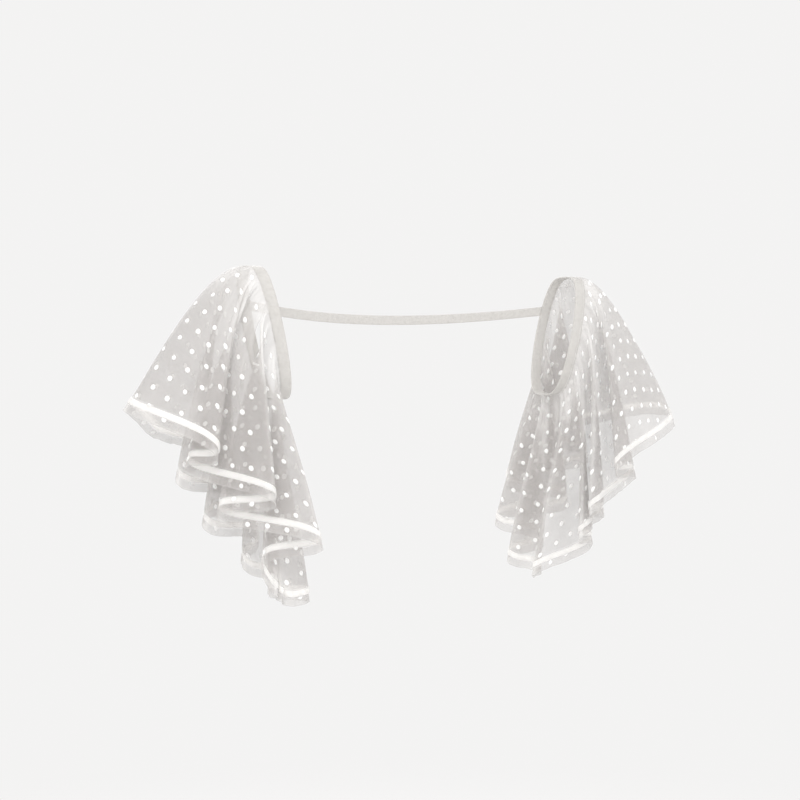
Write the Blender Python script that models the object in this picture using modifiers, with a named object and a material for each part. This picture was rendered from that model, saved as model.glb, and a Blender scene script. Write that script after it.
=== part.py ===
"""A bridal shrug jacket in dotted net: two fluttering sleeves on armhole bands, joined across the back.

Metres, +Z up. The jacket hangs as it is worn: +X is the wearer's left, the wearer faces -Y, and the
origin is midway between the two shoulder tops. Each sleeve is one deep flounce of net, gathered to a
narrow armhole band and falling in folds, with a ribbon sewn on a little above its raw edge.
"""

import math
from collections import namedtuple

import bmesh
import bpy
import numpy as np
from mathutils import Vector

# The figure that the jacket fits
SHOULDER_HALF = 0.200
ARMHOLE_HALF_HEIGHT = 0.069
ARMHOLE_HALF_WIDTH = 0.035
ARMHOLE_SQUARENESS = 0.55
ARMHOLE_LEAN = 0.015

# Cut widths, walls and the gap that a seam leaves
BAND_WIDTH = 0.014
BAND_WALL = 0.0016
NET_WALL = 0.0010
RIBBON_WIDTH = 0.007
RIBBON_WALL = 0.0010
RIBBON_ABOVE_EDGE = 0.0095
STRAP_WIDTH = 0.011
STRAP_WALL = 0.0016
SEAM_GAP = 0.0003

# Gathers where the net meets the band: their height, how uneven they are, and where they fade out
GATHER_HEIGHT = 0.0016
GATHER_UNEVENNESS = 0.25
GATHER_DRIFT = 0.37
GATHER_FADE = 0.35
COLUMNS_PER_GATHER = 4

# The right flounce's own closing seam stands open near its top: the turn it lies by, its rows,
# and in columns its half width at the middle row and how far to each side the net is pushed along
SLIT_TURN = 2.65
SLIT_ROWS = (3, 4, 5)
SLIT_HALF = 0.75
SLIT_PUSH = 6

# Drape: how the net spreads as it leaves the band, settles and flares at the hem, and turns at a fold,
# and how many times as steeply as elsewhere the hem drops at a turn
OUTWARDS = np.array([1.0, 0.0, 0.0])
DOWNWARDS = np.array([0.0, 0.0, 1.0])
STAND_SPREAD = 0.28
SETTLE = 0.33
FLARE = 0.55
FOLD_RADIUS = 0.006
FOLD_DROP = 1.8

# Back strap: where it leaves the bands, and how far it bows back and sags
STRAP_ANGLE = 296.0
STRAP_BOW = 0.050
STRAP_SAG = 0.012

# Fineness of the meshes
COLUMNS_PER_FOLD = 8
FOLD_CROWDING = 0.55
NET_ROWS = (0.0, 0.05, 0.13, 0.26, 0.38, 0.51, 0.74, 1.0)
BAND_COLUMNS = 72
STRAP_COLUMNS = 24
MERGE_DISTANCE = 1e-6

RIGHT, LEFT = -1, 1

# One row for each turn of the hem, from the shoulder wing round the front, the armpit and the back:
# the angle round the armhole that it is gathered to (0 the shoulder top, 90 the front, in degrees),
# where the turn hangs, measured outwards, forwards and down from the shoulder top, and how far the
# net stands out from the band before it falls. A last value is how far its foot flares, where that isn't
# the usual share.
Turn = namedtuple("Turn", "angle out front drop stand flare", defaults=(FLARE,))
RIGHT_TURNS = (
    Turn(0, 0.140, -0.015, 0.150, 0.037, 0.7),
    Turn(36, 0.074, 0.061, 0.193, 0.032),
    Turn(52, 0.087, 0.013, 0.210, 0.025),
    Turn(72, 0.024, 0.091, 0.240, 0.025),
    Turn(90, 0.060, 0.030, 0.258, 0.021),
    Turn(112, -0.022, 0.101, 0.285, 0.022),
    Turn(132, 0.012, 0.034, 0.312, 0.017),
    Turn(145, -0.008, 0.036, 0.347, 0.016),
    Turn(158, -0.049, 0.024, 0.352, 0.016),
    Turn(178, -0.023, -0.021, 0.350, 0.016),
    Turn(200, -0.048, -0.045, 0.342, 0.016),
    Turn(218, -0.002, -0.040, 0.322, 0.016),
    Turn(240, -0.040, -0.088, 0.300, 0.020),
    Turn(262, 0.040, -0.046, 0.278, 0.021),
    Turn(284, -0.018, -0.098, 0.252, 0.025),
    Turn(304, 0.074, -0.038, 0.228, 0.026),
    Turn(322, 0.022, -0.092, 0.204, 0.032, 0.8),
    Turn(344, 0.102, -0.058, 0.172, 0.033, 2.5),
)
LEFT_TURNS = (
    Turn(0, 0.154, 0.020, 0.172, 0.034),
    Turn(38, 0.026, 0.072, 0.224, 0.033),
    Turn(56, 0.085, 0.026, 0.243, 0.024),
    Turn(78, -0.008, 0.066, 0.274, 0.024),
    Turn(94, 0.038, 0.028, 0.285, 0.022),
    Turn(114, -0.010, 0.048, 0.305, 0.018),
    Turn(134, 0.022, 0.026, 0.320, 0.016),
    Turn(156, -0.048, 0.010, 0.348, 0.016),
    Turn(178, -0.020, -0.020, 0.350, 0.016),
    Turn(200, -0.046, -0.048, 0.338, 0.016),
    Turn(218, 0.000, -0.038, 0.320, 0.016),
    Turn(240, -0.036, -0.088, 0.298, 0.018),
    Turn(262, 0.042, -0.044, 0.276, 0.022),
    Turn(284, -0.014, -0.098, 0.250, 0.024),
    Turn(304, 0.070, -0.040, 0.222, 0.028),
    Turn(322, 0.026, -0.092, 0.196, 0.030),
    Turn(344, 0.104, -0.060, 0.176, 0.032),
)


def worn(side, place):
    """Points given outwards, forwards and down from a shoulder top, as X, Y and Z from that top."""
    out, front, drop = np.moveaxis(np.asarray(place), -1, 0)
    return np.stack([side * out, -front, -drop], -1)


def armhole(angle, across):
    """Points of the armhole's loop, this far outwards across the band."""
    turn = np.radians(angle)
    front = ARMHOLE_HALF_WIDTH * np.sign(np.sin(turn)) * np.abs(np.sin(turn)) ** ARMHOLE_SQUARENESS
    fall = 1 - np.cos(turn)
    return np.stack([across - ARMHOLE_LEAN * fall, front, ARMHOLE_HALF_HEIGHT * fall], -1)


def round_arm(angle):
    """Unit directions away from the middle of the armhole, square to the way out along the arm."""
    turn = np.radians(angle)
    return np.stack([0 * turn, np.sin(turn), -np.cos(turn)], -1)


def unit(vectors):
    """The same directions with a length of one."""
    return vectors / np.linalg.norm(vectors, axis=-1, keepdims=True)


def turn_slopes(rows):
    """The hem's direction at each turn: across a fold's tip, rounded to its radius, and dropping most."""
    before, after = np.roll(rows, 1, axis=0), np.roll(rows, -1, axis=0)
    slopes = (after - before) / 2
    to_before, to_after = (before - rows)[:, :2], (after - rows)[:, :2]
    tip = unit(unit(to_before) + unit(to_after))
    across = np.stack([-tip[:, 1], tip[:, 0]], -1)
    progress = np.sum(slopes[:, :2] * across, axis=1)
    shorter = np.minimum(np.linalg.norm(to_before, axis=1), np.linalg.norm(to_after, axis=1))
    speed = np.maximum(np.abs(progress), np.sqrt(6 * shorter * FOLD_RADIUS))
    slopes[:, :2] = across * (np.sign(progress) * speed)[:, None]
    slopes[:, 2] *= FOLD_DROP
    return slopes


def closed_curve(rows, at):
    """Values of a smooth closed curve through a table's rows, at these row numbers."""
    slopes = turn_slopes(rows)
    low = np.floor(at).astype(int)
    t = (at - low)[:, None]
    start, end = rows[low % len(rows)], rows[(low + 1) % len(rows)]
    leave, arrive = slopes[low % len(rows)], slopes[(low + 1) % len(rows)]
    eased = t * t * (3 - 2 * t)
    return start + (end - start) * eased + t * (1 - t) * ((1 - t) * leave - t * arrive)


def crowded(columns, folds):
    """Row numbers for the columns, closer together where the hem turns."""
    even = np.arange(columns) * folds / columns
    return even - FOLD_CROWDING * np.sin(2 * math.pi * even) / (2 * math.pi)


def flounce_points(side, turns):
    """The net's rows of points, from the band's edge to the raw hem, as an array of rows and columns.

    Each column is a Bezier curve: it stands out from the band, then falls and flares to the hem.
    """
    folds = len(turns)
    columns = folds * COLUMNS_PER_FOLD
    at = crowded(columns, folds)
    curve = closed_curve(np.array([turn[1:] for turn in turns]), at)
    hem, stand, flare = np.split(curve, [3, 4], axis=1)
    angle = np.interp(at, range(folds + 1), [turn.angle for turn in turns] + [360])
    top = armhole(angle, BAND_WIDTH + SEAM_GAP + NET_WALL / 4)
    away = round_arm(angle)
    leave = top + stand * (OUTWARDS + STAND_SPREAD * away)
    fall = hem - top
    length = np.linalg.norm(fall, axis=1, keepdims=True)
    settle = hem - SETTLE * length * unit(flare * fall / length + (1 - flare) * DOWNWARDS)
    ribbon_top = 1 - (RIBBON_ABOVE_EDGE + RIBBON_WIDTH) / length
    ribbon_foot = 1 - RIBBON_ABOVE_EDGE / length
    shares = [share * ribbon_top for share in NET_ROWS] + [ribbon_foot, np.ones_like(length)]
    column = np.arange(columns)[:, None]
    uneven = 1 - GATHER_UNEVENNESS * (1 + np.sin(GATHER_DRIFT * column + side))
    room = np.minimum(1, np.gradient(angle) * columns / 360)[:, None]
    gather = GATHER_HEIGHT * room * uneven * np.sin(2 * math.pi * column / COLUMNS_PER_GATHER)
    rows = []
    for v in shares:
        hung = (1 - v) ** 3 * top + 3 * v * (1 - v) ** 2 * leave
        hung = hung + 3 * v**2 * (1 - v) * settle + v**3 * hem
        rows.append(hung + gather * np.clip(1 - v / GATHER_FADE, 0, 1) * away)
    return worn(side, np.array(rows))


def outward(points, side):
    """Unit normals of a closed tube of rows and columns, facing away from the arm."""
    along = np.roll(points, -1, axis=1) - np.roll(points, 1, axis=1)
    down = np.gradient(points, axis=0)
    return unit(side * np.cross(along, down))


def ribbon_points(side, net):
    """The ribbon's two edges, made from the net's points beneath it and moved out."""
    lift = NET_WALL / 2 + SEAM_GAP + RIBBON_WALL / 2
    return (net + lift * outward(net, side))[-3:-1]


def band_points(side):
    """The armhole band: a short ring of cloth round the top of the arm."""
    angle = np.arange(BAND_COLUMNS) * 360 / BAND_COLUMNS
    return worn(side, np.array([armhole(angle, 0.0), armhole(angle, BAND_WIDTH)]))


def shoulder_top(side):
    return np.array([side * SHOULDER_HALF, 0.0, 0.0])


def strap_points():
    """The strap's two edges, from the back of the right band round to the back of the left one."""
    half_turn = math.degrees(STRAP_WIDTH / 2 / ARMHOLE_HALF_HEIGHT)
    end_lean = math.atan2(2 * STRAP_BOW, SHOULDER_HALF)
    end_gap = SEAM_GAP + STRAP_WALL / 2 * math.sin(end_lean)
    across = np.linspace(0, 1, STRAP_COLUMNS + 1)[:, None]
    bow = (1 - (2 * across - 1) ** 2) * np.array([0.0, STRAP_BOW, -STRAP_SAG])
    edges = []
    for angle in (STRAP_ANGLE + half_turn, STRAP_ANGLE - half_turn):
        end = armhole(np.array(angle), -end_gap)
        right = worn(RIGHT, end) + shoulder_top(RIGHT)
        left = worn(LEFT, end) + shoulder_top(LEFT)
        edges.append(right + across * (left - right) + bow)
    return np.array(edges)


def finish(name, colour, roughness):
    """A plain cloth material."""
    material = bpy.data.materials.new(name)
    material.use_nodes = True
    shader = material.node_tree.nodes["Principled BSDF"]
    shader.inputs["Base Color"].default_value = (*colour, 1)
    shader.inputs["Roughness"].default_value = roughness
    shader.inputs["Metallic"].default_value = 0.0
    return material


def part_columns(row, middle):
    """A row of the net, pushed along itself to both sides of the slit, and the slit's two edges there."""
    columns = np.arange(len(row))
    step = columns - middle
    pushed = SLIT_HALF * np.sign(step) + (1 - SLIT_HALF / SLIT_PUSH) * step
    moved = np.where(np.abs(step) < SLIT_PUSH, middle + pushed, columns)
    edges = np.array([middle - SLIT_HALF, middle + SLIT_HALF])
    return [np.stack([np.interp(at, columns, axis) for axis in row.T], -1) for at in (moved, edges)]


def open_slit(bm, line, edges):
    """Parts the sheet along a line of three of its points, the middle one to the slit's two edges."""
    ends = [min(bm.verts, key=lambda vert: (vert.co - Vector(point)).length) for point in line]
    middle = ends[1].co.copy()
    bmesh.ops.split_edges(bm, edges=[bm.edges.get(pair) for pair in zip(ends, ends[1:])])
    for vert in bm.verts:
        if (vert.co - middle).length < MERGE_DISTANCE:
            centres = [face.calc_center_median() for face in vert.link_faces]
            beside = sum(centres, Vector()) / len(centres)
            vert.co = min((Vector(edge) for edge in edges), key=lambda edge: (edge - beside).length)


def cloth(name, points, closed, wall, material, slit=None):
    """A wall of cloth, half to each side of a grid of rows and columns, sewn up where it is closed."""
    rows, columns = points.shape[:2]
    across = columns if closed else columns - 1
    bm = bmesh.new()
    bmesh.ops.create_grid(bm, x_segments=across, y_segments=rows - 1, size=0.5)
    for vert in bm.verts:
        column = round((vert.co.x + 0.5) * across)
        row = round((vert.co.y + 0.5) * (rows - 1))
        vert.co = points[row, column % columns]
    bmesh.ops.remove_doubles(bm, verts=bm.verts, dist=MERGE_DISTANCE)
    if slit:
        open_slit(bm, *slit)
    mesh = bpy.data.meshes.new(name)
    bm.to_mesh(mesh)
    bm.free()
    mesh.shade_smooth()
    mesh.materials.append(material)
    piece = bpy.data.objects.new(name, mesh)
    solidify = piece.modifiers.new("Wall", "SOLIDIFY")
    solidify.thickness = wall
    solidify.offset = 0
    return piece


def sleeve(side, word, turns, jacket):
    """One sleeve, hung from its shoulder top: armhole band, flounce and the ribbon on the flounce."""
    shoulder = bpy.data.objects.new(f"shoulder_{word}", None)
    shoulder.location = shoulder_top(side)
    jacket.objects.link(shoulder)
    band_net = finish(f"band_net_{word}", (0.90, 0.89, 0.86), 0.7)
    dotted_net = finish(f"dotted_net_{word}", (0.86, 0.85, 0.84), 0.8)
    satin = finish(f"satin_{word}", (0.95, 0.94, 0.93), 0.35)
    net = flounce_points(side, turns)
    slit = None
    if side == RIGHT:
        column = round(SLIT_TURN * COLUMNS_PER_FOLD)
        net[SLIT_ROWS[1]], edges = part_columns(net[SLIT_ROWS[1]], column)
        slit = (net[SLIT_ROWS, column], edges)
    for piece in (
        cloth(f"armhole_band_{word}", band_points(side), True, BAND_WALL, band_net),
        cloth(f"flounce_{word}", net, True, NET_WALL, dotted_net, slit),
        cloth(f"ribbon_{word}", ribbon_points(side, net), True, RIBBON_WALL, satin),
    ):
        piece.parent = shoulder
        jacket.objects.link(piece)


def main():
    for old in list(bpy.data.objects):
        bpy.data.objects.remove(old)
    jacket = bpy.data.collections.new("bridal_shrug_jacket")
    bpy.context.scene.collection.children.link(jacket)
    sleeve(RIGHT, "right", RIGHT_TURNS, jacket)
    sleeve(LEFT, "left", LEFT_TURNS, jacket)
    strap_net = finish("strap_net", (0.90, 0.89, 0.86), 0.7)
    jacket.objects.link(cloth("back_strap", strap_points(), False, STRAP_WALL, strap_net))


main()
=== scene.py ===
# %% [markdown]
# # A bridal shrug jacket in dotted net, dressed cell by cell
# The jacket is a pair of flutter sleeves. Each is one deep flounce of sheer net, gathered to a narrow
# band round the armhole, with a satin ribbon sewn on a little above the raw edge, and a strap joins the
# two bands across the back. The imported solids already hold its size and its large folds, so this lesson
# loads them first and then makes the cloth itself.

# %% Load the solids
import math
from collections import namedtuple

import bpy
import numpy as np
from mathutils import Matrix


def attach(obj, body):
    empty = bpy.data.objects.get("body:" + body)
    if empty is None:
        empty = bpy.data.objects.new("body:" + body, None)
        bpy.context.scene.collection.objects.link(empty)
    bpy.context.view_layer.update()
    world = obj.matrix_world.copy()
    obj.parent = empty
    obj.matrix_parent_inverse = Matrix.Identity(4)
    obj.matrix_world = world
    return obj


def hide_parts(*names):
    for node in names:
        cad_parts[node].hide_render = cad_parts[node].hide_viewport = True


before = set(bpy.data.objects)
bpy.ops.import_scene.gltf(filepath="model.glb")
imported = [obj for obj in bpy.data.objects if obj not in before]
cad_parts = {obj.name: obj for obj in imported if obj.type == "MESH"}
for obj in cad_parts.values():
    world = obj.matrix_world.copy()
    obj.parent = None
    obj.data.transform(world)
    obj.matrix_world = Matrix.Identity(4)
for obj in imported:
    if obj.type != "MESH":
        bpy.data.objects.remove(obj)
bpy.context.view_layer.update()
bpy.ops.object.select_all(action="DESELECT")
print("solids:", ", ".join(sorted(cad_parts)))

# %% [markdown]
# ## The camera
# The camera comes first, because every later choice is judged through it. It stands in front and round
# to the jacket's right, a little lower than the bands' tops, and looks very slightly down. A portrait
# lens keeps the near sleeve from looking much larger than the far one.

# %% Set up the camera
VIEW_TURN = math.radians(31.0)
VIEW_TILT = math.radians(1.63)
VIEW_DISTANCE = 1.689
VIEW_SIDESTEP = 0.0216
VIEW_HEIGHT = -0.094
LENS_MM = 68.1

ahead = np.array([math.sin(VIEW_TURN), math.cos(VIEW_TURN), 0.0])
aside = np.array([math.cos(VIEW_TURN), -math.sin(VIEW_TURN), 0.0])
stand_at = -VIEW_DISTANCE * ahead - VIEW_SIDESTEP * aside + np.array([0.0, 0.0, VIEW_HEIGHT])
bpy.ops.object.camera_add(location=stand_at, rotation=(math.pi / 2 - VIEW_TILT, 0.0, -VIEW_TURN))
camera = bpy.context.object
camera.data.lens = LENS_MM
bpy.context.scene.camera = camera
print("camera at", stand_at.round(3))

# %% [markdown]
# ## A pale studio
# White net shows best in soft light from all round, with a stronger light in front to model the folds, a
# weaker one to fill their shade and one behind that shines through them. The world is the backdrop. The
# floor lies well below the hems and fades out at its rim, so that no edge crosses the picture. Net is
# seen through many layers, so rays may pass more see-through surfaces than usual.

# %% Light the studio
BACKDROP_GLOW = 0.90
SEE_THROUGH_LAYERS = 96
Lamp = namedtuple("Lamp", "name place size power")
LAMPS = (
    Lamp("key", (-1.6, -1.8, 1.3), 1.2, 40.0),
    Lamp("fill", (1.9, -1.2, 0.6), 1.4, 14.0),
    Lamp("rim", (0.3, 2.0, 1.2), 1.4, 36.0),
)
LIT_POINT = np.array([0.0, 0.0, -0.18])

world = bpy.data.worlds.new("studio")
bpy.context.scene.world = world
world.use_nodes = True
world.node_tree.nodes["Background"].inputs["Color"].default_value = (1.0, 0.995, 0.99, 1.0)
world.node_tree.nodes["Background"].inputs["Strength"].default_value = BACKDROP_GLOW
for lamp in LAMPS:
    aim = LIT_POINT - np.array(lamp.place)
    tilt = math.acos(-aim[2] / np.linalg.norm(aim))
    heading = math.atan2(aim[1], aim[0]) - math.pi / 2
    bpy.ops.object.light_add(type="AREA", location=lamp.place, rotation=(tilt, 0.0, heading))
    light = bpy.context.object
    light.name = f"lamp_{lamp.name}"
    light.data.size = lamp.size
    light.data.energy = lamp.power
bpy.context.scene.view_settings.view_transform = "Standard"
bpy.context.scene.cycles.transparent_max_bounces = SEE_THROUGH_LAYERS
print("lamps:", len(LAMPS))

# %% [markdown]
# ## Node helpers
# Every finish below is a small tree of shader nodes, and a few helpers keep those trees readable. One adds
# a node and sets or links its inputs by name, one starts a material with its Principled shader, and one
# links a socket to that shader. The others read a place on the flat cut, tint a shader between two
# colours and raise its surface by a small bump.

# %% Helpers for materials
def node(material, kind, settings=None, **inputs):
    """A new shader node. A socket given for an input is linked to it, and a value is set on it."""
    made = material.node_tree.nodes.new(f"ShaderNode{kind}")
    for name, value in (settings or {}).items():
        setattr(made, name, value)
    for name, value in inputs.items():
        socket = made.inputs[int(name[1:]) if name[0] == "_" else name.replace("_", " ")]
        if isinstance(value, bpy.types.NodeSocket):
            material.node_tree.links.new(value, socket)
        else:
            socket.default_value = value
    return made


def start(name, **inputs):
    """A material whose Principled shader has these constant values."""
    material = bpy.data.materials.new(name)
    material.use_nodes = True
    shader = material.node_tree.nodes["Principled BSDF"]
    for key, value in inputs.items():
        shader.inputs[key.replace("_", " ")].default_value = value
    return material, shader


def join(material, socket, shader, name):
    material.node_tree.links.new(socket, shader.inputs[name])


def flat_place(material):
    """A spot's place on the flat cut of its cloth, in metres."""
    return node(material, "UVMap", {"uv_map": "cut"}).outputs["UV"]


def two_tone(material, shader, share, dark, light):
    """Tints a shader between two colours, and gives the ramp that mixes them."""
    tint = node(material, "ValToRGB", None, Fac=share)
    for stop, colour in zip(tint.color_ramp.elements, (dark, light)):
        stop.color = (*colour, 1.0)
    join(material, tint.outputs["Color"], shader, "Base Color")
    return tint.color_ramp


def emboss(material, shader, height, strength, distance):
    """Raises a shader's surface by a small bump."""
    bump = node(material, "Bump", None, Height=height, Strength=strength, Distance=distance)
    join(material, bump.outputs["Normal"], shader, "Normal")


# %% Lay the floor
FLOOR_HEIGHT = -1.40
FLOOR_RADIUS = 3.2
FLOOR_FULL = 0.9
FLOOR_SIDES = 96

bpy.ops.mesh.primitive_circle_add(
    vertices=FLOOR_SIDES, radius=FLOOR_RADIUS, fill_type="NGON", location=(0.0, 0.0, FLOOR_HEIGHT)
)
floor = bpy.context.object
floor.name = "floor"
floor_paint, paint = start("floor_paint", Base_Color=(0.88, 0.875, 0.87, 1.0), Roughness=0.9)
place = node(floor_paint, "TexCoord").outputs["Object"]
away = node(floor_paint, "VectorMath", {"operation": "LENGTH"}, _0=place).outputs["Value"]
fade = node(floor_paint, "MapRange", None, Value=away, From_Min=FLOOR_RADIUS, From_Max=FLOOR_FULL)
join(floor_paint, fade.outputs["Result"], paint, "Alpha")
floor.data.materials.append(floor_paint)
print("floor at", FLOOR_HEIGHT)

# %% [markdown]
# ## The cut: armhole, hem and the drape between them
# A flutter sleeve is a ring-shaped piece of net. Its inner edge is gathered to the armhole band, and its
# outer edge, three to four times as long, has nowhere to go but into folds. So the form is set by two
# closed curves and the fall between them. The armhole is a rounded loop. The hem is a smooth curve
# through its turns, one row of the table for each: the angle round the armhole that it hangs from,
# where the turn hangs outwards, forwards and down from the shoulder top, how far the net stands out of
# the seam before it falls, and, where it isn't the usual share, how far its foot flares. The hem drops
# most at its turns and runs flatter between them. A simulation would give folds, but not these folds.

# %% Sizes of the cut
SHOULDER_HALF = 0.200
ARMHOLE_HALF_HEIGHT = 0.069
ARMHOLE_HALF_WIDTH = 0.035
ARMHOLE_SQUARENESS = 0.55
ARMHOLE_LEAN = 0.015
BAND_WIDTH = 0.014
STAND_SPREAD = 0.28
SETTLE = 0.33
FLARE = 0.55
FOLD_RADIUS = 0.006
FOLD_DROP = 1.8
FOLD_CROWDING = 0.55
RIGHT, LEFT = -1, 1
WORDS = {RIGHT: "right", LEFT: "left"}

# %% Turns of the two hems
Turn = namedtuple("Turn", "angle out front drop stand flare", defaults=(FLARE,))
TURNS = {
    RIGHT: (
        Turn(0, 0.140, -0.015, 0.150, 0.037, 0.7),
        Turn(36, 0.074, 0.061, 0.193, 0.032),
        Turn(52, 0.087, 0.013, 0.210, 0.025),
        Turn(72, 0.024, 0.091, 0.240, 0.025),
        Turn(90, 0.060, 0.030, 0.258, 0.021),
        Turn(112, -0.022, 0.101, 0.285, 0.022),
        Turn(132, 0.012, 0.034, 0.312, 0.017),
        Turn(145, -0.008, 0.036, 0.347, 0.016),
        Turn(158, -0.049, 0.024, 0.352, 0.016),
        Turn(178, -0.023, -0.021, 0.350, 0.016),
        Turn(200, -0.048, -0.045, 0.342, 0.016),
        Turn(218, -0.002, -0.040, 0.322, 0.016),
        Turn(240, -0.040, -0.088, 0.300, 0.020),
        Turn(262, 0.040, -0.046, 0.278, 0.021),
        Turn(284, -0.018, -0.098, 0.252, 0.025),
        Turn(304, 0.074, -0.038, 0.228, 0.026),
        Turn(322, 0.022, -0.092, 0.204, 0.032, 0.8),
        Turn(344, 0.102, -0.058, 0.172, 0.033, 2.5),
    ),
    LEFT: (
        Turn(0, 0.154, 0.020, 0.172, 0.034),
        Turn(38, 0.026, 0.072, 0.224, 0.033),
        Turn(56, 0.085, 0.026, 0.243, 0.024),
        Turn(78, -0.008, 0.066, 0.274, 0.024),
        Turn(94, 0.038, 0.028, 0.285, 0.022),
        Turn(114, -0.010, 0.048, 0.305, 0.018),
        Turn(134, 0.022, 0.026, 0.320, 0.016),
        Turn(156, -0.048, 0.010, 0.348, 0.016),
        Turn(178, -0.020, -0.020, 0.350, 0.016),
        Turn(200, -0.046, -0.048, 0.338, 0.016),
        Turn(218, 0.000, -0.038, 0.320, 0.016),
        Turn(240, -0.036, -0.088, 0.298, 0.018),
        Turn(262, 0.042, -0.044, 0.276, 0.022),
        Turn(284, -0.014, -0.098, 0.250, 0.024),
        Turn(304, 0.070, -0.040, 0.222, 0.028),
        Turn(322, 0.026, -0.092, 0.196, 0.030),
        Turn(344, 0.104, -0.060, 0.176, 0.032),
    ),
}
print("turns of each hem:", {WORDS[side]: len(turns) for side, turns in TURNS.items()})

# %% Curves of the armhole and the hem
def unit(vectors):
    return vectors / np.linalg.norm(vectors, axis=-1, keepdims=True)


def worn(side, place):
    """World points from places given outwards, forwards and down from a shoulder top."""
    out, front, drop = np.moveaxis(place, -1, 0)
    return np.stack([side * (SHOULDER_HALF + out), -front, -drop], -1)


def armhole(angle, across):
    """Places on the armhole's loop, this far outwards across the band."""
    turn = np.radians(angle)
    front = ARMHOLE_HALF_WIDTH * np.sign(np.sin(turn)) * np.abs(np.sin(turn)) ** ARMHOLE_SQUARENESS
    fall = 1 - np.cos(turn)
    return np.stack([across - ARMHOLE_LEAN * fall, front, ARMHOLE_HALF_HEIGHT * fall], -1)


def round_armhole(angle):
    """Directions away from the middle of the armhole."""
    turn = np.radians(angle)
    return np.stack([0 * turn, np.sin(turn), -np.cos(turn)], -1)


def turn_slopes(rows):
    """The hem's direction at each turn: across a fold's tip, rounded to its radius, and dropping most."""
    before, after = np.roll(rows, 1, axis=0), np.roll(rows, -1, axis=0)
    slopes = (after - before) / 2
    to_before, to_after = (before - rows)[:, :2], (after - rows)[:, :2]
    tip = unit(unit(to_before) + unit(to_after))
    across = np.stack([-tip[:, 1], tip[:, 0]], -1)
    progress = np.sum(slopes[:, :2] * across, axis=1)
    shorter = np.minimum(np.linalg.norm(to_before, axis=1), np.linalg.norm(to_after, axis=1))
    # A cubic's radius at its end is its speed squared over six times its chord.
    speed = np.maximum(np.abs(progress), np.sqrt(6 * shorter * FOLD_RADIUS))
    slopes[:, :2] = across * (np.sign(progress) * speed)[:, None]
    slopes[:, 2] *= FOLD_DROP
    return slopes


def closed_curve(rows, at):
    """A smooth closed curve through a table's rows, at these row numbers."""
    slopes = turn_slopes(rows)
    low = np.floor(at).astype(int)
    t = (at - low)[:, None]
    first, second = rows[low % len(rows)], rows[(low + 1) % len(rows)]
    leave, arrive = slopes[low % len(rows)], slopes[(low + 1) % len(rows)]
    return first + (second - first) * t * t * (3 - 2 * t) + t * (1 - t) * ((1 - t) * leave - t * arrive)


# %% [markdown]
# ## Hanging the net
# Each column of the net is a Bezier curve that stands out of the seam, falls, and flares at the hem. The
# columns crowd together at the folds, where the net bends most. The rows are then spaced evenly down each
# column, so that a row number means a length of cloth, and dots and ribbon can be laid by it. The top
# row is tucked into the band.

# %% Hang the net
COLUMNS_PER_FOLD = 26
NET_ROWS = 100
FINE_STEPS = 240
TUCK = 0.003
OUTWARDS = np.array([1.0, 0.0, 0.0])
DOWNWARDS = np.array([0.0, 0.0, 1.0])
Flounce = namedtuple("Flounce", "side turn angle depth grid")


def hang(side):
    """A flounce: its columns' turns, angles and depths, and its grid of evenly spaced rows."""
    turns = TURNS[side]
    even = np.arange(len(turns) * COLUMNS_PER_FOLD) / COLUMNS_PER_FOLD
    at = even - FOLD_CROWDING * np.sin(2 * math.pi * even) / (2 * math.pi)
    table = np.array([turn[1:] for turn in turns])
    hem, stand, flare = np.split(closed_curve(table, at), [3, 4], axis=1)
    angle = np.interp(at, range(len(turns) + 1), [turn.angle for turn in turns] + [360])
    top = armhole(angle, BAND_WIDTH - TUCK)
    leave = top + stand * (OUTWARDS + STAND_SPREAD * round_armhole(angle))
    fall = hem - top
    length = np.linalg.norm(fall, axis=1, keepdims=True)
    settle = hem - SETTLE * length * unit(flare * fall / length + (1 - flare) * DOWNWARDS)
    v = np.linspace(0, 1, FINE_STEPS)[:, None, None]
    curve = (1 - v) ** 3 * top + 3 * v * (1 - v) ** 2 * leave + 3 * v**2 * (1 - v) * settle + v**3 * hem
    run = np.linalg.norm(np.diff(curve, axis=0, prepend=curve[:1]), axis=2).cumsum(axis=0)
    grid = np.empty((NET_ROWS + 1, len(at), 3))
    for column in range(len(at)):
        wanted = np.linspace(0, run[-1, column], NET_ROWS + 1)
        for axis in range(3):
            grid[:, column, axis] = np.interp(wanted, run[:, column], curve[:, column, axis])
    return Flounce(side, even, angle, run[-1], worn(side, grid))


def outward(grid, side):
    """Unit normals of a closed tube of rows and columns, facing out of the sleeve."""
    along = np.roll(grid, -1, axis=1) - np.roll(grid, 1, axis=1)
    return unit(side * np.cross(along, np.gradient(grid, axis=0)))


def steps(row):
    """The length of each step round a closed row of points."""
    return np.linalg.norm(np.roll(row, -1, axis=0) - row, axis=1)


def run_so_far(lengths):
    """The length run at the start and after each of these steps."""
    return np.concatenate([[0], lengths.cumsum()])


forms = {side: hang(side) for side in (RIGHT, LEFT)}
for side, form in forms.items():
    print(f"{WORDS[side]} net: depth {form.depth.mean():.3f} m, hem {steps(form.grid[-1]).sum():.3f} m")
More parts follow.
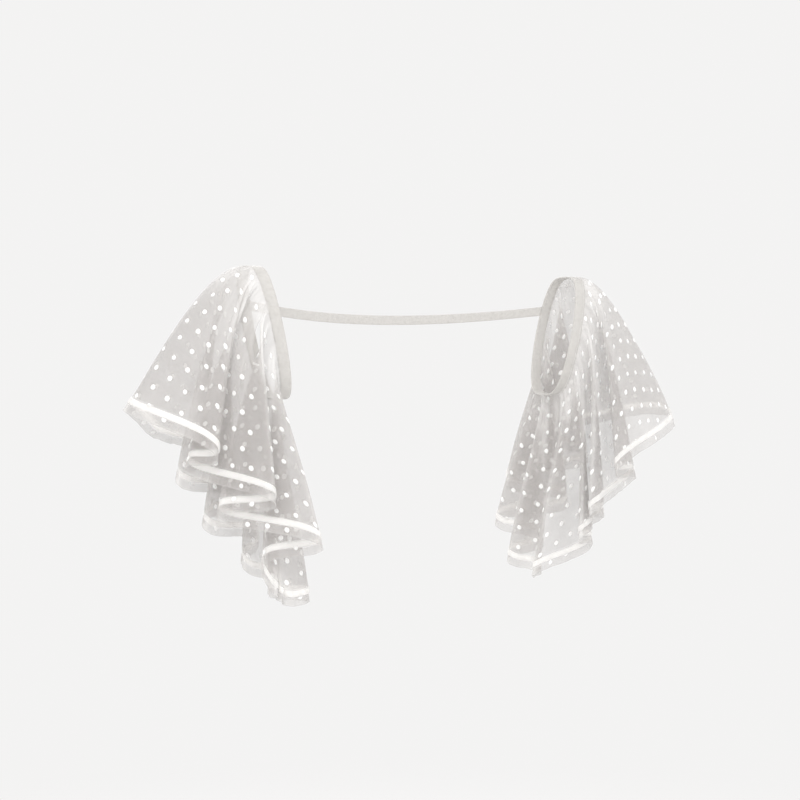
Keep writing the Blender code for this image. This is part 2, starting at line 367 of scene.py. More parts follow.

# %% [markdown]
# ## Creases, gathers and a fluttering edge
# Crisp net creases in long soft ridges that start at the seam and die out on the way down, no two alike.
# The main ones are listed, a row each: the angle round the armhole where the crease starts and
# how far it drifts by its foot, where along the depth it starts and ends, and its height and half width.
# A negative height is a trough. Smaller gathers between them come from a seeded generator. The raw edge
# flutters a little, and where the hem is bunched up it crumples: a row says at which turn of the hem,
# how far to each side, how high, and in how many waves.

# %% Place the creases
Crease = namedtuple("Crease", "angle drift top foot height width")
CREASES = {
    RIGHT: (
        Crease(350, -3, 0.04, 0.62, 0.0022, 5.0),
        Crease(9, 2, 0.02, 0.46, -0.0018, 4.0),
        Crease(28, -9, 0.08, 0.92, 0.0034, 4.0),
        Crease(33, -4, 0.04, 0.70, -0.0026, 3.4),
        Crease(40, 5, 0.01, 0.34, 0.0032, 2.8),
        Crease(47, 2, 0.02, 0.24, -0.0022, 2.4),
        Crease(61.5, 0, 0.06, 0.92, 0.0030, 2.8),
        Crease(64, -3, 0.0, 0.20, 0.0022, 1.6),
        Crease(67.5, 2, 0.0, 0.24, -0.0018, 1.6),
        Crease(70, 2, 0.02, 0.52, -0.0022, 2.4),
        Crease(81, -2, 0.02, 0.46, 0.0022, 2.8),
        Crease(100, 3, 0.05, 0.84, 0.0030, 3.0),
        Crease(106, -2, 0.02, 0.58, -0.0022, 2.6),
        Crease(122, 3, 0.02, 0.64, 0.0020, 3.6),
        Crease(148, -2, 0.04, 0.60, 0.0018, 4.0),
        Crease(188, 3, 0.02, 0.56, 0.0018, 4.0),
        Crease(228, -3, 0.03, 0.66, 0.0022, 4.0),
        Crease(250, 2, 0.02, 0.74, -0.0022, 3.6),
        Crease(273, -2, 0.05, 0.60, 0.0024, 3.4),
        Crease(294, 3, 0.02, 0.78, -0.0024, 3.6),
        Crease(313, -2, 0.03, 0.55, 0.0026, 4.0),
        Crease(334, 3, 0.02, 0.70, -0.0026, 4.4),
    ),
    LEFT: (
        Crease(349, 3, 0.03, 0.58, -0.0022, 4.6),
        Crease(10, -2, 0.02, 0.72, 0.0026, 4.6),
        Crease(24, 3, 0.04, 0.55, -0.0028, 4.2),
        Crease(31, 2, 0.02, 0.82, 0.0022, 3.4),
        Crease(47, -2, 0.02, 0.68, 0.0026, 3.4),
        Crease(66, 2, 0.03, 0.76, -0.0024, 3.6),
        Crease(86, -2, 0.02, 0.54, 0.0022, 3.0),
        Crease(104, 3, 0.05, 0.66, -0.0020, 3.4),
        Crease(124, -2, 0.02, 0.60, 0.0020, 3.8),
        Crease(146, 2, 0.03, 0.52, 0.0018, 4.0),
        Crease(188, -3, 0.02, 0.64, 0.0018, 4.0),
        Crease(229, 2, 0.03, 0.58, -0.0022, 4.0),
        Crease(252, -2, 0.02, 0.72, 0.0024, 3.6),
        Crease(274, 3, 0.04, 0.62, -0.0022, 3.6),
        Crease(293, -2, 0.02, 0.80, 0.0024, 3.6),
        Crease(312, 2, 0.03, 0.56, -0.0026, 4.0),
        Crease(333, -3, 0.02, 0.68, 0.0026, 4.2),
    ),
}
Crumple = namedtuple("Crumple", "turn reach height waves")
CRUMPLES = {
    RIGHT: (Crumple(7.0, 0.75, 0.0062, 2.2), Crumple(9.4, 0.8, 0.0025, 1.5)),
    LEFT: (Crumple(4.5, 0.7, 0.0022, 1.5), Crumple(7.4, 0.8, 0.0025, 1.8)),
}
print("creases placed by hand:", sum(len(rows) for rows in CREASES.values()))

# %% Crease the net
CLOTH_SEED = 7
GATHERS = 58
GATHER_WANDER = 0.35
GATHER_DRIFT = 2
GATHER_HEIGHTS = (0.0004, 0.0013)
GATHER_FEET = (0.10, 0.42)
GATHER_WIDTHS = (2.8, 4.6)
CREASE_SKEW = 0.7
BAND_GRIP = 0.05
FLUTTER_HEIGHT = 0.0006
FLUTTER_WAVES = (0.014, 0.023, 0.039)
FLUTTER_TOP = 0.84
FLUTTER_EASE = 1.5


def seam_gathers(rng):
    """Small gathers that start in the seam, uneven in spacing, height and length."""
    gathers = []
    for number in range(GATHERS):
        angle = (number + rng.uniform(-GATHER_WANDER, GATHER_WANDER)) * 360 / GATHERS
        height = rng.uniform(*GATHER_HEIGHTS) * (1 if number % 2 else -1)
        foot = rng.uniform(*GATHER_FEET)
        drift = rng.uniform(-GATHER_DRIFT, GATHER_DRIFT)
        gathers.append(Crease(angle, drift, 0.0, foot, height, rng.uniform(*GATHER_WIDTHS)))
    return gathers


def crease_lift(form, crease, share):
    """How far a crease lifts each point of the net."""
    offset = ((form.angle - crease.angle - crease.drift * share + 180) % 360 - 180) / crease.width
    along = np.clip((share - crease.top) / (crease.foot - crease.top), 0, 1)
    ridge = np.where(np.abs(offset) < 1, 0.5 + 0.5 * np.cos(math.pi * offset), 0)
    return crease.height * ridge * np.sin(math.pi * along**CREASE_SKEW)


def edge_lift(form, share, rng):
    """How far the loose edge flutters, and where it is bunched, crumples."""
    loose = np.clip((share - FLUTTER_TOP) / (1 - FLUTTER_TOP), 0, 1) ** FLUTTER_EASE
    along = steps(form.grid[-1]).cumsum()
    waves = sum(np.sin(2 * math.pi * (along / wave + rng.uniform())) for wave in FLUTTER_WAVES)
    lift = FLUTTER_HEIGHT * waves * loose
    for crumple in CRUMPLES[form.side]:
        offset = (form.turn - crumple.turn) / crumple.reach
        near = np.where(np.abs(offset) < 1, np.cos(math.pi / 2 * offset) ** 2, 0)
        lift = lift + crumple.height * near * np.sin(2 * math.pi * crumple.waves * offset) * loose
    return lift


def creased(form):
    """The flounce with its creases raised along its normals, held flat where the band grips it."""
    rng = np.random.default_rng(CLOTH_SEED + form.side)
    share = np.linspace(0, 1, NET_ROWS + 1)[:, None]
    lift = sum(crease_lift(form, crease, share) for crease in (*CREASES[form.side], *seam_gathers(rng)))
    free = np.clip(share / BAND_GRIP, 0, 1)
    lift = lift * free + edge_lift(form, share, rng)
    return form._replace(grid=form.grid + lift[..., None] * outward(form.grid, form.side))


nets = {side: creased(form) for side, form in forms.items()}
print("gathers in each seam:", GATHERS)

# %% [markdown]
# ## An open stretch of seam
# The right flounce is closed by a short seam of its own, and near the top that seam stands open in a long
# lens. The net's columns are pushed along their own rows to both sides of it, so the sheet keeps its form,
# and the column in the middle is doubled, one copy for each edge of the slit.

# %% Open the slit
SLIT_TURN = 2.65
SLIT_TOP, SLIT_FOOT = 0.115, 0.345
SLIT_HALF = 0.08
SLIT_ROUNDING = 0.7
SLIT_PUSH = 0.75


def slit_halves():
    """Half the slit's width at each row, in columns."""
    share = np.linspace(0, 1, NET_ROWS + 1)
    along = np.clip((share - SLIT_TOP) / (SLIT_FOOT - SLIT_TOP), 0, 1)
    return SLIT_HALF * COLUMNS_PER_FOLD * np.sin(math.pi * along) ** SLIT_ROUNDING


def open_rows():
    """The rows where the slit stands open."""
    share = np.linspace(0, 1, NET_ROWS + 1)
    return np.flatnonzero((share > SLIT_TOP) & (share < SLIT_FOOT))


def slit_column():
    return round(SLIT_TURN * COLUMNS_PER_FOLD)


def part_columns(grid):
    """The net pushed aside at the slit, with the slit's first edge in it, and its second edge."""
    middle, reach = slit_column(), SLIT_PUSH * COLUMNS_PER_FOLD
    columns = np.arange(grid.shape[1])
    step = columns - middle
    parted, second = grid.copy(), []
    for row, half in enumerate(slit_halves()):
        opened = middle + half * np.sign(step) + (1 - half / reach) * step
        pushed = np.where(np.abs(step) < reach, opened, columns)
        pushed[middle] = middle - half
        moved = [np.interp(np.append(pushed, middle + half), columns, axis) for axis in grid[row].T]
        moved = np.stack(moved, -1)
        parted[row] = moved[:-1]
        second.append(moved[-1])
    return parted, np.array(second)


parted, slit_edge = part_columns(nets[RIGHT].grid)
nets[RIGHT] = nets[RIGHT]._replace(grid=parted)
widest = np.linalg.norm(slit_edge - parted[:, slit_column()], axis=1).max()
print(f"slit {1000 * widest:.1f} mm wide")

# %% [markdown]
# ## From points to a thin shell
# A sheet of cloth is a grid of points, so its mesh is made from arrays: a face for each cell of the
# grid, closed round the sleeve, with a UV map that holds the flat cut in metres. Solidify then gives the
# sheet its real thickness, because even net has an edge.

# %% Make a shell from a grid
def grid_faces(rows, columns, closed):
    """Corner numbers of a grid's cells, and the same corners' row and unwrapped column."""
    across = columns if closed else columns - 1
    row, column = np.meshgrid(np.arange(rows - 1), np.arange(across), indexing="ij")
    corner_rows = np.stack([row, row + 1, row + 1, row], -1).reshape(-1, 4)
    corner_columns = np.stack([column, column, column + 1, column + 1], -1).reshape(-1, 4)
    return corner_rows * columns + corner_columns % columns, corner_rows, corner_columns


def corner_order(side, turned):
    """The order of a face's corners: turned round on one side, so that faces point outwards."""
    return slice(None, None, -1) if side == turned else slice(None)


def new_piece(name, points, faces, flat, material):
    """A smooth mesh object from arrays, with the flat place of each face corner as its UV map."""
    mesh = bpy.data.meshes.new(name)
    mesh.from_pydata(points.reshape(-1, 3).tolist(), [], faces.tolist())
    uv = mesh.uv_layers.new(name="cut")
    uv.data.foreach_set("uv", flat.astype(np.float32).ravel())
    mesh.materials.append(material)
    mesh.shade_smooth()
    piece = bpy.data.objects.new(name, mesh)
    bpy.context.scene.collection.objects.link(piece)
    return piece


def cut_open(points, faces, columns):
    """Gives the faces on the slit's second side its second edge."""
    middle, opened = slit_column(), open_rows()
    beside = (faces % columns == middle).any(axis=1) & (faces % columns == middle + 1).any(axis=1)
    renamed = faces.copy()
    for number, row in enumerate(opened):
        doubled = beside[:, None] & (faces == row * columns + middle)
        renamed[doubled] = len(points) + number
    return np.concatenate([points, slit_edge[opened]]), renamed


def thicken(piece, wall):
    """Gives a sheet its thickness, half to each side."""
    solidify = piece.modifiers.new("wall", "SOLIDIFY")
    solidify.thickness = wall
    solidify.offset = 0.0
    bpy.context.view_layer.objects.active = piece
    bpy.ops.object.modifier_apply(modifier=solidify.name)


# %% [markdown]
# ## The net's finish
# Soft net is a honeycomb of fine white yarn, mostly holes. From a step away it is a pale haze: one layer
# lightly greys what lies behind it, two layers more, and where the net bends sharply over a fold the
# yarns crowd. So the yarn pattern sets the alpha, on the flat cut. The white yarn is painted grey, a
# painted shade that makes the net read darker than the pale backdrop. A value kept with the mesh thickens
# the net where it folds or is gathered, and whitens it there, partly for the denser yarn and partly as a
# painted sheen on the fold crests. Another thins the net where it is sewn to satin, because it all but
# vanishes on that white ground, and paints it white there, painted light that keeps the ribbon beneath
# bright where it lies in shade.

# %% The net's finish
NET_CELL = 0.0012
NET_WALL = 0.0004
YARN_COVER = 0.36
FOLD_COVER = 0.18
FOLD_SHEEN = 0.6
SATIN_CLEARS = 0.85


def honeycomb(material, cut, uneven, thin, thick):
    """How much of a spot is yarn, from 0 in a hole to 1, in a net of NET_CELL."""
    look = {"voronoi_dimensions": "2D", "feature": "DISTANCE_TO_EDGE"}
    cells = node(material, "TexVoronoi", look, Vector=cut, Scale=1 / NET_CELL, Randomness=uneven)
    yarn = node(material, "MapRange", None, Value=cells.outputs["Distance"], From_Min=thick, From_Max=thin)
    return yarn.outputs["Result"]


def sheer_net():
    material, shader = start(
        "sheer_net", Roughness=0.6, Sheen_Weight=0.4, Sheen_Roughness=0.35, Specular_IOR_Level=0.25
    )
    cut = flat_place(material)
    sheen_and_density = node(material, "Attribute", {"attribute_name": "sheen_and_density"}).outputs["Fac"]
    sewn = node(material, "Attribute", {"attribute_name": "sewn"}).outputs["Fac"]
    yarn = honeycomb(material, cut, uneven=0.35, thin=0.05, thick=0.16)
    cloud = node(material, "TexNoise", {"noise_dimensions": "2D"}, Vector=cut, Scale=38.0, Detail=3.0)
    soft = {"From_Min": 0.3, "From_Max": 0.7, "To_Min": 0.10, "To_Max": 0.18}
    haze = node(material, "MapRange", None, Value=cloud.outputs["Fac"], **soft)
    add = {"operation": "MULTIPLY_ADD", "use_clamp": True}
    woven = node(material, "Math", add, _0=yarn, _1=YARN_COVER, _2=haze.outputs["Result"])
    folded = node(material, "Math", add, _0=sheen_and_density, _1=FOLD_COVER, _2=woven.outputs["Value"])
    bare = node(material, "Math", add, _0=sewn, _1=-SATIN_CLEARS, _2=1.0)
    veil = {"_0": folded.outputs["Value"], "_1": bare.outputs["Value"]}
    alpha = node(material, "Math", {"operation": "MULTIPLY"}, **veil)
    join(material, alpha.outputs["Value"], shader, "Alpha")
    # Painted light: fold crests whitened as a painted sheen, and the net over the satin painted white.
    sheen_and_backing = node(material, "Math", add, _0=sheen_and_density, _1=FOLD_SHEEN, _2=sewn).outputs["Value"]
    # Painted shade: the dark end of this ramp is white net painted grey.
    two_tone(material, shader, sheen_and_backing, (0.515, 0.492, 0.477), (0.970, 0.962, 0.952))
    return material


net_finish = sheer_net()
print("net cell", NET_CELL, "m")

# %% [markdown]
# ## Cutting and sewing the net
# The flat cut of a flounce is a sector of a ring. Its inner arc is the gathered edge and its outer arc
# is the hem, so the two lengths and the depth give its radii and its sweep. Every point of the hanging
# net keeps its place on that flat cut. The value that whitens and thickens the net starts from its own
# curvature round the sleeve, softened, as a painted sheen on the fold crests. More is added under the
# seam, where the gathered net is denser, with faint streaks down the fall and a line along the raw edge.

# %% Measure the flat cut
FULLNESS = 1.25
RIBBON_WIDTH = 0.007
RIBBON_ABOVE_EDGE = 0.0095
Cut = namedtuple("Cut", "inner outer sweep share")


def flat_cut(form):
    """The ring sector that the flounce is cut as, and each column's share of its sweep."""
    depth = form.depth.mean()
    gathered, hem = FULLNESS * steps(form.grid[0]).sum(), steps(form.grid[-1]).sum()
    sweep = (hem - gathered) / depth
    share = run_so_far(steps(form.grid[-1])) / hem
    return Cut(gathered / sweep, hem / sweep, sweep, share)


def cut_places(cut):
    """The flat place of every row and column, in metres."""
    radius = np.linspace(cut.inner, cut.outer, NET_ROWS + 1)[:, None]
    turn = cut.sweep * cut.share
    return np.stack([radius * np.cos(turn), radius * np.sin(turn)], -1)


cuts = {side: flat_cut(form) for side, form in forms.items()}
for side, cut in cuts.items():
    sweep = math.degrees(cut.sweep)
    print(f"{WORDS[side]} cut: {sweep:.0f} deg, radii {cut.inner:.3f} to {cut.outer:.3f} m")

# %% Sew the net
BEND_LOW, BEND_HIGH = 60.0, 280.0
STREAK_SHARE = 0.30
STREAK_ROWS = 24
EDGE_LINE = 0.5
GATHERED_SHARE = 0.42
GATHERED_FOOT = 0.38
SEWN_BLUR = 0.002


def softened(field, columns, rows):
    """A field averaged over its neighbours round the sleeve and down the fall."""
    field = sum(np.roll(field, k, axis=1) for k in range(-columns, columns + 1)) / (2 * columns + 1)
    padded = np.pad(field, ((rows, rows), (0, 0)), mode="edge")
    return sum(padded[k : k + len(field)] for k in range(2 * rows + 1)) / (2 * rows + 1)


def sheen_and_density_of(net):
    """How far the net is whitened and thickened: painted sheen on bends, gathers, streaks and the edge."""
    grid = net.grid
    step_out = np.roll(grid, -1, axis=1) - grid
    step_in = np.roll(step_out, 1, axis=1)
    length = (np.linalg.norm(step_in, axis=2) + np.linalg.norm(step_out, axis=2)) / 2
    curvature = np.linalg.norm(unit(step_out) - unit(step_in), axis=2) / length
    # Painted sheen: the sharper the net bends round the sleeve, the whiter the fold crest.
    sheen_and_density = softened(np.clip((curvature - BEND_LOW) / (BEND_HIGH - BEND_LOW), 0, 1), 2, 3)
    rng = np.random.default_rng(CLOTH_SEED + 2 * net.side)
    streaks = softened(rng.uniform(-1, 1, sheen_and_density.shape), 2, STREAK_ROWS)
    sheen_and_density = sheen_and_density + STREAK_SHARE * np.clip(streaks / (2 * streaks.std()), 0, 1)
    share = np.linspace(0, 1, NET_ROWS + 1)[:, None]
    sheen_and_density = sheen_and_density + GATHERED_SHARE * np.clip(1 - share / GATHERED_FOOT, 0, 1) ** 2
    sheen_and_density[-1] += EDGE_LINE
    return np.clip(sheen_and_density, 0, 1)


def sewn_to_satin(net):
    """1 where the ribbon lies on the net, 0 elsewhere."""
    above = net.depth * np.linspace(1, 0, NET_ROWS + 1)[:, None]
    outside = np.abs(above - RIBBON_ABOVE_EDGE - RIBBON_WIDTH / 2) - RIBBON_WIDTH / 2
    return np.clip(0.5 - outside / SEWN_BLUR, 0, 1)


def sew_net(net, cut):
    """The flounce's piece: its shell, its flat cut, its painted sheen and density, and where it is sewn.
    """
    rows, columns = net.grid.shape[:2]
    faces, corner_rows, corner_columns = grid_faces(rows, columns, True)
    order = corner_order(net.side, LEFT)
    flat = cut_places(cut)[corner_rows, corner_columns][:, order]
    points, faces = net.grid.reshape(-1, 3), faces[:, order]
    values = {"sheen_and_density": sheen_and_density_of(net), "sewn": sewn_to_satin(net)}
    doubled = np.zeros(0, int)
    if net.side == RIGHT:
        points, faces = cut_open(points, faces, columns)
        doubled = open_rows()
    piece = new_piece(f"net_{WORDS[net.side]}", points, faces, flat, net_finish)
    for name, value in values.items():
        value = np.concatenate([value.ravel(), value[doubled, slit_column()]])
        attribute = piece.data.attributes.new(name, "FLOAT", "POINT")
        attribute.data.foreach_set("value", value.astype(np.float32))
    thicken(piece, NET_WALL)
    print(f"{piece.name}: {len(piece.data.polygons)} faces")
    return piece


net_pieces = {side: sew_net(net, cuts[side]) for side, net in nets.items()}

# %% [markdown]
# ## Places on the sewn net
# Dots, ribbon and stitches lie on the net, so each is placed by a column and a row of it, which may fall
# between the grid's own. A point between them is mixed from the four around it, as the mesh itself does.

# %% Find a place on the net
JUST_INSIDE = 1e-6


def on_net(net, column, row, lift):
    """Points of the net at these columns and rows, moved out along its normal by lift."""
    column, row, lift = np.broadcast_arrays(column, np.clip(row, 0, NET_ROWS - JUST_INSIDE), lift)
    left, up = np.floor(column).astype(int), np.floor(row).astype(int)
    a, b = (column - left)[..., None], (row - up)[..., None]
    here, beside = left % net.grid.shape[1], (left + 1) % net.grid.shape[1]

    def mixed(field):
        upper = field[up, here] * (1 - a) + field[up, beside] * a
        lower = field[up + 1, here] * (1 - a) + field[up + 1, beside] * a
        return upper * (1 - b) + lower * b

    return mixed(net.grid) + lift[..., None] * unit(mixed(outward(net.grid, net.side)))


# %% [markdown]
# ## Flock dots
# The white dots are small soft spots bonded to the net on a staggered grid. Each is a thin pill that
# wraps with the net over its folds: its rings of points are laid out on the flat cut, carried to the
# hanging net, and lifted a little to both sides. The grid starts at the flounce's closing seam, and dots
# that would meet the seam or the slit are left out. All the dots of a sleeve are one mesh. A little light
# comes through a dot, so its finish is part translucent.

# %% The dots' finish
def lit_through(material, shader, colour, share):
    """Lets this share of the light through a thin, pale piece."""
    through = node(material, "BsdfTranslucent", None, Color=colour)
    both = {"_1": shader.outputs["BSDF"], "_2": through.outputs["BSDF"]}
    mixed = node(material, "MixShader", None, Fac=share, **both)
    join(material, mixed.outputs["Shader"], material.node_tree.nodes["Material Output"], "Surface")


def flock():
    material, shader = start("flock", Roughness=0.85, Sheen_Weight=0.3, Sheen_Roughness=0.5)
    place = node(material, "TexCoord").outputs["Object"]
    pile = node(material, "TexNoise", None, Vector=place, Scale=4200.0, Detail=2.0).outputs["Fac"]
    emboss(material, shader, pile, strength=0.35, distance=0.0002)
    two_tone(material, shader, pile, (0.90, 0.89, 0.875), (0.98, 0.975, 0.97))
    lit_through(material, shader, (0.95, 0.945, 0.935, 1.0), share=0.12)
    return material


flock_finish = flock()
print("flock finish made")

# %% Scatter the dots
DOT_PITCH = 0.0215
DOT_RADIUS = 0.0027
DOT_HEIGHT = 0.00045
DOT_MARGIN = 0.002
DOT_SEAM = 0.0055
DOT_WANDER = 0.0012
DOT_SIZES = (0.92, 1.08)
DOT_SIDES = 12
DOT_RINGS = ((0.0, 1.0), (0.72, 0.95), (1.0, 0.55), (1.0, -0.55), (0.72, -0.95), (0.0, -1.0))
CLEAR_COLUMNS = 2
CLEAR_SHARE = 0.02


def dot_centres(cut, rng):
    """Radius and angle on the flat cut of each dot, from a staggered grid."""
    reach = int(cut.outer / DOT_PITCH) + 2
    line, place = np.meshgrid(np.arange(-reach, reach + 1), np.arange(-reach, reach + 1), indexing="ij")
    x = (place + 0.5 * (line % 2)) * DOT_PITCH
    y = line * DOT_PITCH * math.sqrt(0.75)
    radius, turn = np.hypot(x, y), np.arctan2(y, x) % (2 * math.pi)
    low, high = cut.inner + DOT_MARGIN + DOT_RADIUS, cut.outer - DOT_MARGIN - DOT_RADIUS
    from_seam = radius * np.minimum(turn, cut.sweep - turn)
    kept = (radius > low) & (radius < high) & (from_seam > DOT_SEAM)
    wander = rng.uniform(-DOT_WANDER, DOT_WANDER, (2, kept.sum()))
    return radius[kept] + wander[0], turn[kept] + wander[1] / radius[kept]


def dot_faces():
    """A dot's triangles, ring by ring, and the number of its points."""
    rings, first = [], 0
    for reach, _ in DOT_RINGS:
        count = DOT_SIDES if reach else 1
        rings.append(first + np.arange(DOT_SIDES) % count)
        first += count
    faces = []
    for upper, lower in zip(rings, rings[1:]):
        for k in range(DOT_SIDES):
            after = (k + 1) % DOT_SIDES
            corners = ((upper[k], upper[after], lower[after]), (upper[k], lower[after], lower[k]))
            faces += [corner for corner in corners if len(set(corner)) == 3]
    return np.array(faces), first


def clear_of_slit(net, column, row):
    """Which places keep a dot's width away from the slit."""
    share = row / NET_ROWS
    beside = np.abs(column - slit_column() - 0.5) < COLUMNS_PER_FOLD * SLIT_HALF + CLEAR_COLUMNS
    level = (share > SLIT_TOP - CLEAR_SHARE) & (share < SLIT_FOOT + CLEAR_SHARE)
    return ~(beside & level & (net.side == RIGHT))


def scatter_dots(net, cut):
    """All of a sleeve's dots, as one mesh of thin pills that follow the net."""
    rng = np.random.default_rng(CLOTH_SEED + 3 * net.side)
    radius, turn = dot_centres(cut, rng)
    seam = cut.share[slit_column()] if net.side == RIGHT else 0.0
    column = np.interp((turn / cut.sweep + seam) % 1, cut.share, np.arange(len(cut.share)))
    row = (radius - cut.inner) / (cut.outer - cut.inner) * NET_ROWS
    kept = clear_of_slit(net, column, row)
    column, row = column[kept], row[kept]
    size = DOT_RADIUS * rng.uniform(*DOT_SIZES, len(column))
    one_column = on_net(net, column + 0.5, row, 0.0) - on_net(net, column - 0.5, row, 0.0)
    column_width = np.linalg.norm(one_column, axis=1)
    row_height = net.depth.mean() / NET_ROWS
    points = []
    for reach, lift in DOT_RINGS:
        spin = np.linspace(0, 2 * math.pi, DOT_SIDES if reach else 1, endpoint=False)
        at_column = column[:, None] + size[:, None] * reach * np.cos(spin) / column_width[:, None]
        at_row = row[:, None] + size[:, None] * reach * np.sin(spin) / row_height
        points.append(on_net(net, at_column, at_row, lift * DOT_HEIGHT))
    points = np.concatenate(points, axis=1)
    faces, count = dot_faces()
    order = corner_order(net.side, LEFT)
    faces = (faces[:, order] + count * np.arange(len(points))[:, None, None]).reshape(-1, 3)
    flat = points.reshape(-1, 3)[faces][..., :2]
    piece = new_piece(f"dots_{WORDS[net.side]}", points, faces, flat, flock_finish)
    print(f"{piece.name}: {len(points)} dots")
    return piece


dot_pieces = {side: scatter_dots(net, cuts[side]) for side, net in nets.items()}

# %% [markdown]
# ## Satin ribbon
# The ribbon is a narrow woven satin tape, laid on the outside of the net a little above the raw edge. It
# follows the net's own points, lifted clear of it. Its middle stands a little higher than its sewn edges
# and it puckers slightly between stitches. The satin's threads run along it, so its pattern is stretched
# that way, and light shines through it.

# %% The satin's finish
def satin():
    material, shader = start(
        "satin", Sheen_Weight=0.15, Sheen_Roughness=0.3, Anisotropic=0.45, Specular_IOR_Level=0.45
    )
    cut = flat_place(material)
    warp = node(material, "Mapping", None, Vector=cut, Scale=(90.0, 5200.0, 1.0)).outputs["Vector"]
    weave = node(material, "TexNoise", {"noise_dimensions": "2D"}, Vector=warp, Scale=1.0, Detail=2.0)
    threads = weave.outputs["Fac"]
    two_tone(material, shader, threads, (0.89, 0.88, 0.865), (0.98, 0.975, 0.965))
    gloss = node(
        material, "MapRange", None, Value=threads, From_Min=0.25, From_Max=0.75, To_Min=0.28, To_Max=0.44
    )
    join(material, gloss.outputs["Result"], shader, "Roughness")
    emboss(material, shader, threads, strength=0.2, distance=0.0001)
    lit_through(material, shader, (0.95, 0.94, 0.93, 1.0), share=0.5)
    return material


satin_finish = satin()
print("satin finish made")

# %% Sew on the ribbon
RIBBON_LIFT = 0.0007
RIBBON_CROWN = 0.00025
RIBBON_PUCKER = 0.0002
PUCKER_WAVES = (0.006, 0.0097)
RIBBON_WALL = 0.0004
RIBBON_STEPS = 2
RIBBON_ACROSS = 6


def ribbon_row(net, column, above):
    """The row that lies this far above the raw edge, at these columns."""
    depth = np.interp(column, np.arange(len(net.depth) + 1), np.append(net.depth, net.depth[0]))
    return (1 - above / depth) * NET_ROWS


def sew_ribbon(net, cut):
    """The ribbon, on the net's points a little above the raw edge."""
    column = np.arange(net.grid.shape[1] * RIBBON_STEPS) / RIBBON_STEPS
    hem = cut.outer * cut.sweep
    along = hem * np.interp(np.append(column, len(cut.share) - 1), np.arange(len(cut.share)), cut.share)
    across = np.linspace(0, 1, RIBBON_ACROSS + 1)[:, None]
    pucker = sum(np.sin(2 * math.pi * along[:-1] / wave) for wave in PUCKER_WAVES)
    raised = (RIBBON_CROWN + RIBBON_PUCKER * pucker) * (1 - (2 * across - 1) ** 2)
    row = ribbon_row(net, column, RIBBON_ABOVE_EDGE + RIBBON_WIDTH * (1 - across))
    grid = on_net(net, column, row, RIBBON_LIFT + raised)
    faces, corner_rows, corner_columns = grid_faces(*grid.shape[:2], True)
    order = corner_order(net.side, LEFT)
    flat = np.stack([along[corner_columns], RIBBON_WIDTH * across[corner_rows, 0]], -1)
    piece = new_piece(f"satin_{WORDS[net.side]}", grid, faces[:, order], flat[:, order], satin_finish)
    thicken(piece, RIBBON_WALL)
    print(f"{piece.name}: {hem:.3f} m of ribbon")
    return piece


ribbon_pieces = {side: sew_ribbon(net, cuts[side]) for side, net in nets.items()}

# %% [markdown]
# ## Stitches
# Fine thread holds the ribbon along both its edges. A stitch is a short length of thread, rounded off
# where it dives into the cloth. There are about two thousand, so all the stitches of a seam are one mesh
# made from arrays: two end points for each, and a few-sided thread between them.

# %% A mesh of many stitches
STITCH_LENGTH = 0.0019
STITCH_PITCH = 0.0030
THREAD_RADIUS = 0.00016
THREAD_SIDES = 5
NEARLY_UPRIGHT = 0.9


def thread():
    material, shader = start("thread", Roughness=0.5, Sheen_Weight=0.2, Sheen_Roughness=0.4)
    place = node(material, "TexCoord").outputs["Object"]
    twist = node(material, "TexNoise", None, Vector=place, Scale=5200.0, Detail=1.0).outputs["Fac"]
    two_tone(material, shader, twist, (0.80, 0.79, 0.775), (0.95, 0.945, 0.935))
    return material


def stitch_faces():
    """One stitch's faces as triangles: a fan at each end and a tube between."""
    near = 1 + np.arange(THREAD_SIDES)
    far, last = near + THREAD_SIDES, 1 + 2 * THREAD_SIDES
    near_after, far_after = np.roll(near, -1), np.roll(far, -1)
    fan = [np.stack([0 * near, near, near_after], -1), np.stack([last + 0 * far, far_after, far], -1)]
    tube = [np.stack([near, far, far_after], -1), np.stack([near, far_after, near_after], -1)]
    return np.concatenate(fan + tube)


def stitches(name, starts, ends):
    """Many stitches as one mesh, each from its start to its end."""
    along = unit(ends - starts)
    side = unit(np.cross(along, np.where(np.abs(along[:, 2:]) < NEARLY_UPRIGHT, DOWNWARDS, OUTWARDS)))
    up = np.cross(side, along)
    spin = np.linspace(0, 2 * math.pi, THREAD_SIDES, endpoint=False)[None, :, None]
    ring = THREAD_RADIUS * (np.cos(spin) * side[:, None] + np.sin(spin) * up[:, None])
    inset = (2 * THREAD_RADIUS * along)[:, None]
    starts, ends = starts[:, None], ends[:, None]
    points = np.concatenate([starts, starts + inset + ring, ends - inset + ring, ends], axis=1)
    faces = stitch_faces() + points.shape[1] * np.arange(len(points))[:, None, None]
    faces = faces.reshape(-1, 3)
    piece = new_piece(name, points, faces, points.reshape(-1, 3)[faces][..., :2], thread_finish)
    print(f"{name}: {len(points)} stitches")
    return piece


thread_finish = thread()

# %% Stitch the ribbons
RIBBON_STITCH_INSET = 0.0009
RIBBON_STITCH_LIFT = 0.00095


def ribbon_stitches(net, cut):
    """Two rows of stitches along a ribbon."""
    hem = cut.outer * cut.sweep
    place = np.arange(0, hem - STITCH_PITCH / 2, STITCH_PITCH)
    starts, ends = [], []
    for inset in (RIBBON_STITCH_INSET, RIBBON_WIDTH - RIBBON_STITCH_INSET):
        above = RIBBON_ABOVE_EDGE + inset
        for kept, at in ((starts, place), (ends, place + STITCH_LENGTH)):
            column = np.interp(at / hem, cut.share, np.arange(len(cut.share)))
            kept.append(on_net(net, column, ribbon_row(net, column, above), RIBBON_STITCH_LIFT))
    return stitches(f"ribbon_stitches_{WORDS[net.side]}", np.concatenate(starts), np.concatenate(ends))


ribbon_stitch_pieces = {side: ribbon_stitches(net, cuts[side]) for side, net in nets.items()}

